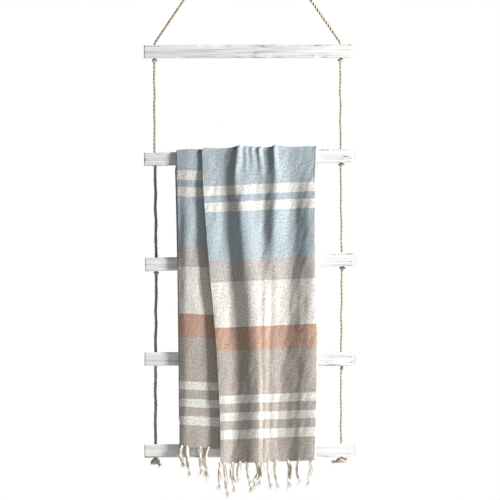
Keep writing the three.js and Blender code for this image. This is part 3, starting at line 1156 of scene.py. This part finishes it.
def wave_depth(x, s, layer, main_left):
    """How far the waves, pleats and creases lift the cloth at points x of one row."""
    start = bend_start(x)
    below_front = start - s
    below = np.maximum(below_front, -below_front - BEND_LENGTH)
    level = np.clip(np.where(below_front > 0, s, 2 * start + BEND_LENGTH - s), 0.0,
                    HIGHEST_LEVEL)
    hang = LEAST_HANG + (1 - LEAST_HANG) * smoothstep((below + 0.004) / HANG_OVER)
    wave = wave_profile(x, float(np.mean(level)), main_left) * hang
    where = np.column_stack([x, s, np.full_like(x, CREASE_STEP * (layer > 0))])
    crease = CREASE * smooth_noise(where * [1, 0.28, 1], CREASE_SCALE, 3) * hang
    ripple = RIPPLE * smooth_noise(where * [1, 0.6, 1], RIPPLE_SCALE, 4)
    rise = np.maximum(wave + pleats(x, below) + crease + ripple, 0)
    return rise / (1 + (rise / MOST_RISE) ** 4) ** 0.25


def tightness(x, s):
    away = np.maximum(bend_start(x) - s, s - bend_start(x) - BEND_LENGTH)
    return TIGHT + (1 - TIGHT) * smoothstep(away / BEND_LENGTH)


def lay_row(v):
    """One row through the four layers: its points, and where they are on the flat cloth."""
    as_front = front_height(v)
    lean = float(LEFT_LEAN(as_front)) if v < BACK_FROM else (
        BACK_LEAN + BACK_LEAN_GROWTH * (v - BACK_FROM))
    behind = BACK_SHIFT * float(smoothstep((v - 0.730) / 0.05))
    right = RIGHT_FOLD + float(RIGHT_DRIFT(as_front)) * MM * 0.6 - behind
    left = LEFT_FOLD + float(STRIP_DRIFT(as_front)) * MM - STRIP_SHIFT * behind
    main_left = MAIN_LEFT - lean * MM
    stops = [(main_left, right - FOLD_RADIUS), (right - FOLD_RADIUS, left + FOLD_RADIUS),
             (left + FOLD_RADIUS, right - 2 * FOLD_RADIUS), (right - 2 * FOLD_RADIUS, None)]
    points, flat, used = [], [], 0.0
    for layer, (start, end) in enumerate(stops):
        if end is None:
            end = start - (CLOTH_WIDTH - used)
        x = np.linspace(start, end, LAYER_COLUMNS[layer])
        u = used + np.abs(x - start)
        turned = np.zeros_like(x)
        used = u[-1]
        if layer < 3:
            angle = np.linspace(0, math.pi, FOLD_COLUMNS + 2)[1:-1]
            way = 1 if end > start else -1
            x = np.concatenate([x, end + way * FOLD_RADIUS * np.sin(angle)])
            u = np.concatenate([u, used + FOLD_RADIUS * angle])
            turned = np.concatenate([turned, (1 - np.cos(angle)) / 2])
            used += FOLD_RADIUS * math.pi
        late = smoothstep((u - LATE_FROM) / LATE_OVER)
        s = v + SKEW * u + (HITCH + HEM_HITCH * math.exp(-v / 0.05)) * late
        s = s - np.interp(v, SAG_AT, SAG) * (1 - late)
        near, far = (LAYER_DEPTHS[which] * tightness(x, s)
                     + LAYER_FOLLOW[which] * wave_depth(x, s, which, main_left)
                     for which in (layer, min(layer + 1, 3)))
        depth = near + (far - near) * turned
        points.append(on_path(x, s, depth, LAYER_DEPTHS[layer] * TIGHT + 0.001))
        flat.append(np.column_stack([u, np.full(len(u), v)]))
    return np.concatenate(points), np.concatenate(flat)


laid = [lay_row(v) for v in rows]
cloth = np.array([points for points, _ in laid])
cloth_flat = np.array([flat for _, flat in laid])
print("cloth grid", cloth.shape[:2], "depth", cloth[..., 1].min(), cloth[..., 1].max())
print("lowest", cloth[..., 2].min(), "highest", cloth[..., 2].max())

# %% [markdown]
# A sheet has two faces and a cut edge all round, so the grid is given its thickness here. It is
# made in three pieces, cut along rows of thread. The pieces share their edge points and their
# shading, and no join shows.

# %% Give the cloth its thickness
normals = np.cross(np.gradient(cloth, axis=1), np.gradient(cloth, axis=0))
normals /= np.linalg.norm(normals, axis=2)[..., None]
outer = cloth + normals * CLOTH_THICKNESS / 2
inner = cloth - normals * CLOTH_THICKNESS / 2
print("cloth", CLOTH_THICKNESS, "m thick")


def cloth_piece(name, bands, finish):
    """A closed mesh of the rows in each band, as (first row, last row)."""
    vertices, faces, face_normals, uvs = [], [], [], []
    for first, last in bands:
        base = sum(len(v) for v in vertices)
        count_v, count_u = last - first + 1, cloth.shape[1]
        vertices += [outer[first:last + 1].reshape(-1, 3), inner[first:last + 1].reshape(-1, 3)]
        size = count_v * count_u
        flat = cloth_flat[first:last + 1].reshape(-1, 2)
        normal = normals[first:last + 1].reshape(-1, 3)

        def add(corners, shading=None):
            """corners are (grid index, 0 outer or 1 inner); shading is one normal for the face."""
            faces.append([base + index + side * size for index, side in corners])
            for index, side in corners:
                uvs.append(flat[index])
                face_normals.append(shading if shading is not None else
                                    (normal[index] if side == 0 else -normal[index]))

        for i in range(count_v - 1):
            for j in range(count_u - 1):
                a, b = i * count_u + j, i * count_u + j + 1
                c, d = b + count_u, a + count_u
                add([(a, 0), (b, 0), (c, 0), (d, 0)])
                add([(d, 1), (c, 1), (b, 1), (a, 1)])
        rims = [[i * count_u for i in range(count_v)][::-1],
                [i * count_u + count_u - 1 for i in range(count_v)],
                list(range(count_u)),
                [(count_v - 1) * count_u + j for j in range(count_u)][::-1]]
        points = cloth[first:last + 1].reshape(-1, 3)
        for rim in rims:
            for a, b in zip(rim, rim[1:]):
                side = np.cross(points[b] - points[a], normal[a])
                side /= max(np.linalg.norm(side), 1e-9)
                add([(a, 0), (a, 1), (b, 1), (b, 0)], side)
    made = mesh_object(name, np.concatenate(vertices).tolist(), faces, finish)
    layer = made.data.uv_layers.new(name="cloth")
    layer.data.foreach_set("uv", np.array(uvs).ravel())
    made.data.shade_smooth()
    made.data.normals_split_custom_set(np.array(face_normals).tolist())
    return made


# %% [markdown]
# ## Cotton
#
# The stripes are woven in, so they belong to the flat cloth. A ramp gives each band its colour by
# its distance from the end, and the pattern is the same from both ends. Warp and weft cross in a
# basket pattern of small raised squares, and the low places between them are painted darker, as
# painted shade. The yarn is heathered and mottled, and here and there it has a thick place.

# %% Cotton material
STRIPE_CENTRE = 0.700


def srgb(*values):
    return tuple((v / 255 / 12.92) if v / 255 <= 0.04045 else ((v / 255 + 0.055) / 1.055) ** 2.4
                 for v in values)


LOW_GREY, LOW_WHITE = srgb(186, 176, 167), srgb(234, 230, 224)
GREY_TAUPE, RUST, CREAM = srgb(185, 175, 166), srgb(192, 157, 138), srgb(231, 226, 218)
TAUPE, BLUE, WHITE = srgb(194, 188, 182), srgb(181, 194, 201), srgb(236, 233, 226)
BLUE_GREY = srgb(176, 187, 196)
STRIPES = ((0, LOW_GREY), (0.0564, LOW_WHITE), (0.0784, LOW_GREY), (0.0990, LOW_WHITE),
           (0.1200, LOW_GREY), (0.1397, LOW_WHITE), (0.1594, GREY_TAUPE), (0.2649, RUST),
           (0.3196, CREAM), (0.4287, TAUPE), (0.4806, BLUE), (0.5913, WHITE),
           (0.6135, BLUE_GREY), (0.6304, WHITE), (0.6519, BLUE))
WEAVE_PITCH = 0.0042
RIB_SHARE, BASKET_SHARE = 0.16, 0.34  # how strongly ribs and squares show in the weave
STRIPE_STRAY = 0.0022  # how ragged the stripes' edges are
WEAVE_BUMP = 0.0006
COTTON_SHEEN = 0.08


def woven_cotton():
    made, tree, shader = material("woven_cotton", 0.93)
    place = tree.nodes.new("ShaderNodeUVMap")
    place.uv_map = "cloth"
    flat = place.outputs["UV"]
    parts = node(tree, "ShaderNodeSeparateXYZ", Vector=flat)
    u, v = parts.outputs["X"], parts.outputs["Y"]
    frizz = noise(tree, flat, 420.0, 2.0)
    jitter = times(tree, math_node(tree, "SUBTRACT", frizz, 0.5), STRIPE_STRAY)
    mirrored = math_node(tree, "PINGPONG", plus(tree, v, jitter), STRIPE_CENTRE)
    stops = tuple((start / STRIPE_CENTRE, colour) for start, colour in STRIPES)
    stripes = ramp(tree, math_node(tree, "DIVIDE", mirrored, STRIPE_CENTRE), stops, constant=True)
    masks = fibre(tree, mapped(tree, flat, (1.0, 0.09, 1.0)), 520.0, 1500.0)
    heather = ramp(tree, masks["Mask"], ((0.15, 0.80), (0.85, 1.02)))
    colour = mixed(tree, 0.9, stripes, heather, "MULTIPLY")
    strayed = plus(tree, u, times(tree, jitter, 0.5))
    rib, weft = (math_node(tree, "SINE", times(tree, way, 2 * math.pi / WEAVE_PITCH))
                 for way in (strayed, v))
    woven = plus(tree, times(tree, rib, RIB_SHARE), times(tree, times(tree, rib, weft), BASKET_SHARE))
    lifted = plus(tree, woven, 0.5)
    # Painted shade: the weave's low places are darkened in colour by the same values that lift the
    # bump.
    colour = mixed(tree, 1.0, colour, ramp(tree, lifted, ((0.2, 0.62), (0.8, 1.20))), "MULTIPLY")
    mottle = noise(tree, flat, 230.0, 3.0, 0.7)
    colour = mixed(tree, 1.0, colour, ramp(tree, mottle, ((0.36, 0.64), (0.64, 1.18))), "MULTIPLY")
    tree.links.new(colour, shader.inputs["Base Color"])
    slub = noise(tree, mapped(tree, flat, (14.0, 240.0, 1.0)), 1.0, 1.0)
    height = lifted
    for part in (mottle, masks["Height"], ramp(tree, slub, ((0.66, 0.0), (0.74, 1.0)))):
        height = plus(tree, height, times(tree, part, 0.5))
    bump(tree, shader, height, 0.5, WEAVE_BUMP)
    shader.inputs["Sheen Weight"].default_value = COTTON_SHEEN
    return made


COTTON = woven_cotton()
print(COTTON.name, "has", len(STRIPES), "bands in its ramp")

# %% [markdown]
# ## Fringe
#
# At each end of the cloth the warp is gathered into tassels. A tassel starts with a knot against
# the cloth, hangs as a twisted cord, is knotted again and ends in loose yarn. They are made with
# the rope's own tree, at their own size.

# %% Tassels
TASSEL_THICK = 0.0086
TASSEL_DROP = 0.062
TASSEL_LAY = 0.022
TASSEL_STEPS = 24
TASSEL_STEP = 0.0018
TASSEL_BOW = 0.0032
TASSEL_WAVE = 0.0010
TWISTED_SHARE = 0.80  # of the drop; loose ends are the rest
CORE_SHARE = 0.62  # the twisted middle's width, of the tassel's
YARNS = 18
YARN_THICK = 0.0013
YARN_LAY = 0.006
YARN_STEP = 0.0045
LOOSE_ENDS = 34
HEM_DEPTH = 0.0300  # no knot stands further out than this


def tassel_lines(top, drop, lean):
    """The lines of one tassel, as (its middle and its knots, its yarns and loose ends)."""
    down = Vector((lean.x, lean.y, -1)).normalized()
    wave, bow = random.uniform(0, 6.3), random.normal(0, TASSEL_BOW)
    spine, swell = [], []
    for i in range(TASSEL_STEPS + 1):
        share = i / TASSEL_STEPS
        side = bow * math.sin(math.pi * share) + TASSEL_WAVE * math.sin(wave + 7 * share) * share
        start = top + Vector((side, 0.3 * side, 0.003))
        spine.append(start + down * drop * TWISTED_SHARE * share)
        swell.append(0.55 + 0.45 * math.sin(math.pi * (0.12 + 0.78 * share)))
    head, foot = spine[1], spine[-2]
    cords = [[(p, CORE_SHARE * width) for p, width in zip(spine, swell)]]
    yarns = []
    for _ in range(YARNS):
        angle, reach, twist = random.uniform(0, 6.3), random.uniform(0.4, 1.2), random.normal(2.5, 2)
        yarn = []
        for i in range(0, TASSEL_STEPS + 1, 3):
            turn, out = angle + twist * i / TASSEL_STEPS, TASSEL_THICK * 0.58 * reach * swell[i]
            yarn.append((spine[i] + Vector((math.cos(turn), 0.55 * math.sin(turn), 0)) * out, 1.0))
        yarns.append(yarn)
    for place, size in ((head, TASSEL_THICK * 0.85), (foot, TASSEL_THICK * 1.05)):
        turned = knot_line(place, size, size, TASSEL_THICK * 0.5, 1.3, random.uniform(0, 6.3))
        cords.append([(p, 0.5) for p in turned])
    return cords, yarns + frayed(foot, down, drop * 0.30, 0.30, LOOSE_ENDS)


def tassel_row(name, places, node_name):
    """places are (hem point, lean, drop); the row takes the place of the CAD fringe."""
    cords, loose = [], []
    for top, lean, drop in places:
        made_cords, made_loose = tassel_lines(top, drop, Vector((lean, random.normal(0, 0.008), 0)))
        cords += made_cords
        loose += made_loose
    parts = [cord_mesh(name, cords, TASSEL_THICK, TASSEL_LAY, YARN, TASSEL_STEP, 6)]
    parts.append(cord_mesh(name + "_loose", loose, YARN_THICK, YARN_LAY, YARN, YARN_STEP, 3))
    made = joined_objects(parts, name)
    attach(made, "level_5")
    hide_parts(node_name)
    return made


def hem_point(x, row, layer):
    """The point of a hem nearest to x in one layer of the cloth."""
    start = sum(LAYER_COLUMNS[:layer]) + FOLD_COLUMNS * layer
    part = cloth[row, start:start + LAYER_COLUMNS[layer]]
    point = Vector(part[np.argmin(np.abs(part[:, 0] - x))])
    point.y = max(-HEM_DEPTH, min(HEM_DEPTH, point.y))
    return point


# Each front tassel: its place as a share of the hem, its lean and its drop.
main_tassels = ((0.013, 0.05, 0.061), (0.065, -0.12, 0.080), (0.146, -0.05, 0.066),
                (0.228, 0.10, 0.044), (0.289, -0.20, 0.070), (0.381, 0.03, 0.058),
                (0.450, 0.12, 0.054), (0.515, -0.10, 0.062), (0.585, -0.05, 0.064),
                (0.709, -0.03, 0.060), (0.831, 0.02, 0.057), (0.944, 0.06, 0.058))
main_places = [(hem_point(MAIN_LEFT + share * (RIGHT_FOLD - MAIN_LEFT), 0, 0), -lean, drop)
               for share, lean, drop in main_tassels]
strip_places = [(hem_point(LEFT_FOLD + away, 0, 1), lean, drop) for away, lean, drop in
                ((0.010, 0.03, 0.048), (0.023, 0.10, 0.066), (0.052, 0.04, 0.063),
                 (0.073, -0.10, 0.068))]
back_places = []
for layer, count, start, pitch in ((0, 14, MAIN_LEFT - 0.06, 0.0205),
                                   (1, 4, LEFT_FOLD + 0.004, 0.018)):
    for i in range(count):
        point = hem_point(start + pitch * i, -1, layer)
        back_places.append((point, random.normal(0, 0.07), TASSEL_DROP * random.uniform(0.9, 1.1)))
fringe_front = tassel_row("front_tassels", main_places, "fringe_front")
fringe_strip = tassel_row("strip_tassels", strip_places, "fringe_strip")
fringe_back = tassel_row("back_tassels", back_places, "fringe_back")
print("tassels", len(main_places), len(strip_places), len(back_places))

# %% [markdown]
# ## Drape the cloth
#
# The cloth is cut into three pieces along its rows. The upper piece lies over rung 2; the middle and
# the lower piece each take a band in front and the band level with it behind.

# %% Place the cloth's pieces
# Each piece: the body above it, the body below it, and two heights, the upper first.
HINGE_ZONES = (("level_2", "level_3", -0.667, -0.800), ("level_3", "level_4", -0.917, -1.050),
               ("level_4", "level_5", -1.125, -1.200))
MIDDLE_TOP, MIDDLE_FOOT = -0.862, -1.090


def row_at(height, front):
    """The row whose middle is at a height, in front of the rung or behind it."""
    z, y = cloth[..., 2].mean(axis=1), cloth[..., 1].mean(axis=1)
    wrong_side = y > 0 if front else y < 0
    return int(np.argmin(np.abs(z - height) + 10 * wrong_side))


front_foot, front_top = row_at(MIDDLE_FOOT, True), row_at(MIDDLE_TOP, True)
back_top, back_foot = row_at(MIDDLE_TOP, False), row_at(MIDDLE_FOOT, False)
last_row = len(rows) - 1
bands = (("throw_upper", ((front_top, back_top),)),
         ("throw_middle", ((front_foot, front_top), (back_top, back_foot))),
         ("throw_lower", ((0, front_foot), (back_foot, last_row))))
all_pieces = []
for (name, piece_bands), (body_a, body_b, start_z, end_z) in zip(bands, HINGE_ZONES):
    made = cloth_piece(name, piece_bands, COTTON)
    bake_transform(made)
    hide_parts("throw")
    above = all_pieces[-1].name if all_pieces else "rung_2_wood"
    all_pieces.append(made)
